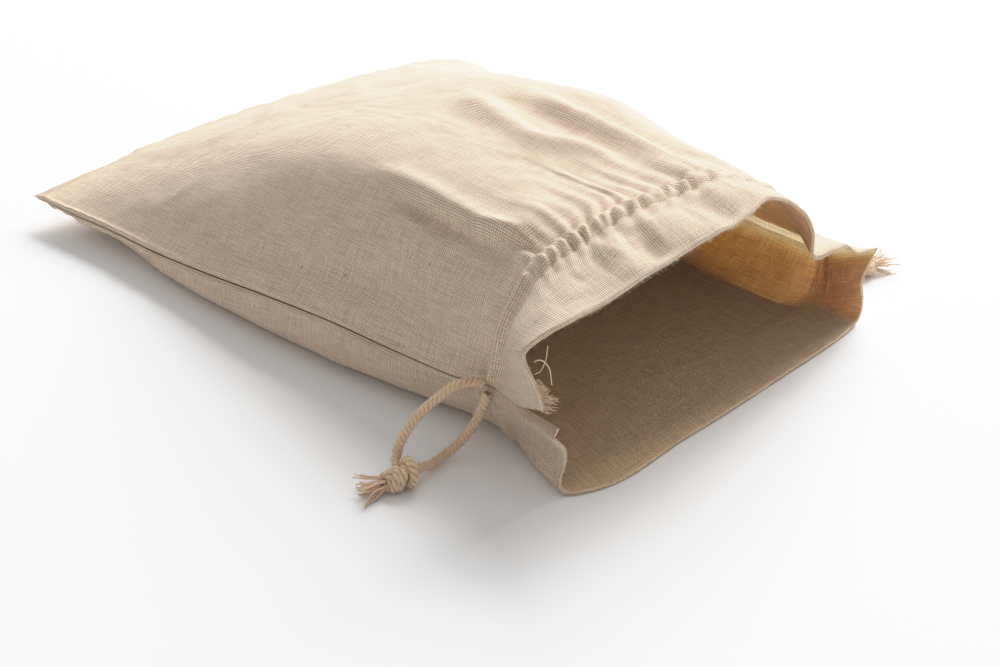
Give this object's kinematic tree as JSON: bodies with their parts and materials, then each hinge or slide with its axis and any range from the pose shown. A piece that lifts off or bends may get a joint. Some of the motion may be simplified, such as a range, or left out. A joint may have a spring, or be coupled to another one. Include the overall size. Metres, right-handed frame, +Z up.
{
  "type": "drawstring bread bag",
  "caption": "Plain linen drawstring bag lying on its back panel with its mouth held open, gathered channel and knotted twisted cords at both sides.",
  "frame": {"origin": "bottom centre of the bag's cloth, on the surface it lies on", "axes": "+Y from the open mouth towards the closed end, +Z up from the surface, +X towards the seam on the right as seen from the mouth"},
  "size_m": [0.3552, 0.4158, 0.1065],
  "materials": {
    "natural_linen": "plain weave",
    "natural_linen_back": "plain weave",
    "twisted_cotton": "twisted cord"
  },
  "bodies": {
    "root": {"front_panel": "natural_linen", "back_panel": "natural_linen_back", "near_cord_upper": "twisted_cotton", "near_cord_lower": "twisted_cotton", "near_knot": "twisted_cotton", "near_tassel": "twisted_cotton", "far_cord_upper": "twisted_cotton", "far_cord_lower": "twisted_cotton", "far_knot": "twisted_cotton", "far_tassel": "twisted_cotton"}
  },
  "joints": []
}
